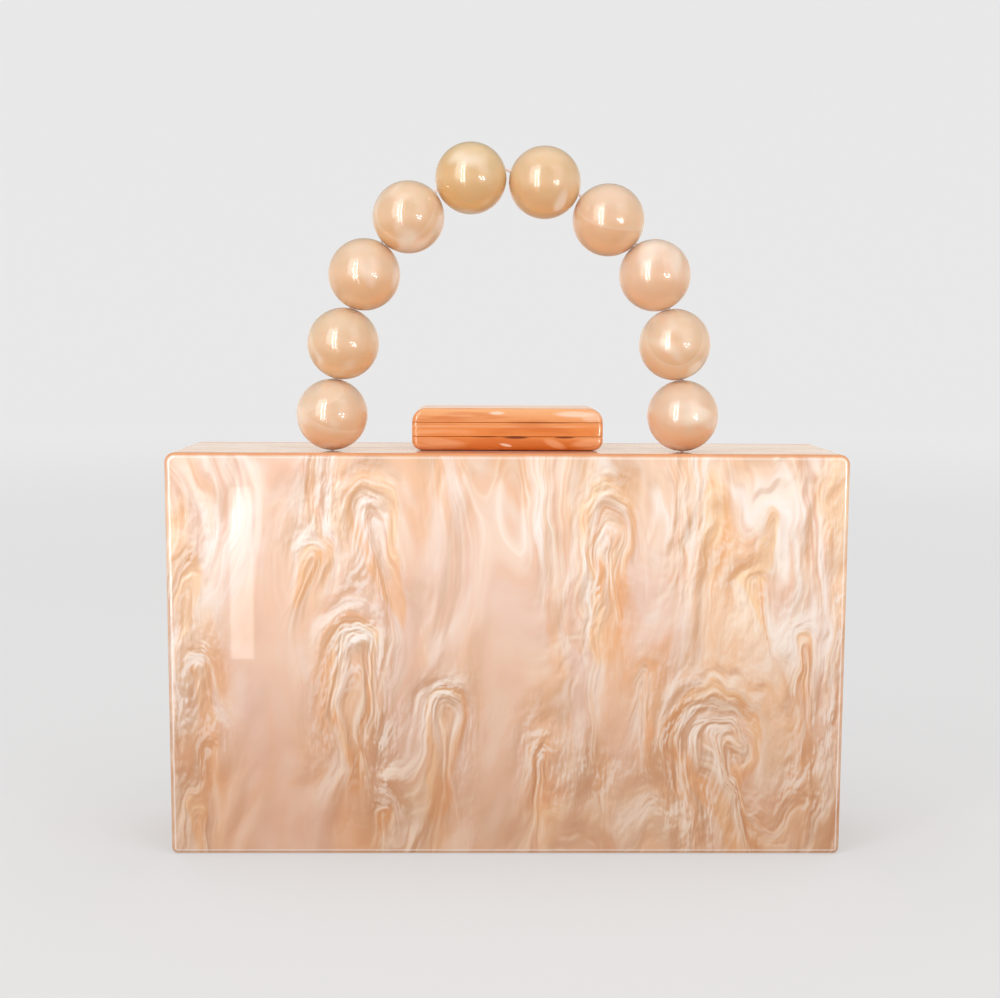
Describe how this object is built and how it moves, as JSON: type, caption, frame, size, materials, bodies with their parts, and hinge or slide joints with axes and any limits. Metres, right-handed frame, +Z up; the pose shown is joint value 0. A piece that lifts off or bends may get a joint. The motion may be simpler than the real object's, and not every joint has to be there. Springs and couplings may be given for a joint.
{
  "type": "box clutch",
  "caption": "Rigid pearl acrylic box clutch: shallow trays hinged along the bottom seam, a laminated clasp bar on top and a hand loop of round beads.",
  "frame": {"origin": "at the base in the middle of the seam, on the box's centre line", "axes": "+Z up from the base to the handle, front face towards -Y, +X to the right as seen from the front"},
  "size_m": [0.2, 0.05, 0.2101],
  "materials": {
    "pearl_acrylic": "polished cast acrylic sheet with a swirled cream, pink and peach pearl inside and a clear glossy face",
    "clasp_acrylic": "the same sheet seen on its cut edge, polished, caramel orange with fine streaks along the sheet",
    "bead_acrylic": "high gloss pearly peach acrylic",
    "bead_thread": "pale pink twisted thread, matt",
    "hinge_metal": "plain satin steel"
  },
  "bodies": {
    "front_half": {"front_plate": "pearl_acrylic", "front_left_wall": "pearl_acrylic", "front_right_wall": "pearl_acrylic", "front_top_wall": "pearl_acrylic", "front_bottom_wall": "pearl_acrylic", "clasp_front_lower": "clasp_acrylic", "clasp_front_middle": "clasp_acrylic", "clasp_front_upper": "clasp_acrylic", "hinge_front_leaf": "hinge_metal", "hinge_pin": "hinge_metal", "bead_1": "bead_acrylic", "bead_2": "bead_acrylic", "bead_3": "bead_acrylic", "bead_4": "bead_acrylic", "bead_5": "bead_acrylic", "bead_6": "bead_acrylic", "bead_7": "bead_acrylic", "bead_8": "bead_acrylic", "bead_9": "bead_acrylic", "bead_10": "bead_acrylic", "thread": "bead_thread"},
    "rear_half": {"rear_plate": "pearl_acrylic", "rear_left_wall": "pearl_acrylic", "rear_right_wall": "pearl_acrylic", "rear_top_wall": "pearl_acrylic", "rear_bottom_wall": "pearl_acrylic", "clasp_rear_lower": "clasp_acrylic", "clasp_rear_middle": "clasp_acrylic", "clasp_rear_upper": "clasp_acrylic", "clasp_stud": "hinge_metal", "hinge_rear_leaf": "hinge_metal"}
  },
  "joints": [
    {"name": "bottom_hinge", "type": "hinge", "parent": "front_half", "child": "rear_half", "pos_m": [0, 0, 0.00225], "axis": [-1, 0, 0], "range_deg": [0, 90]}
  ]
}
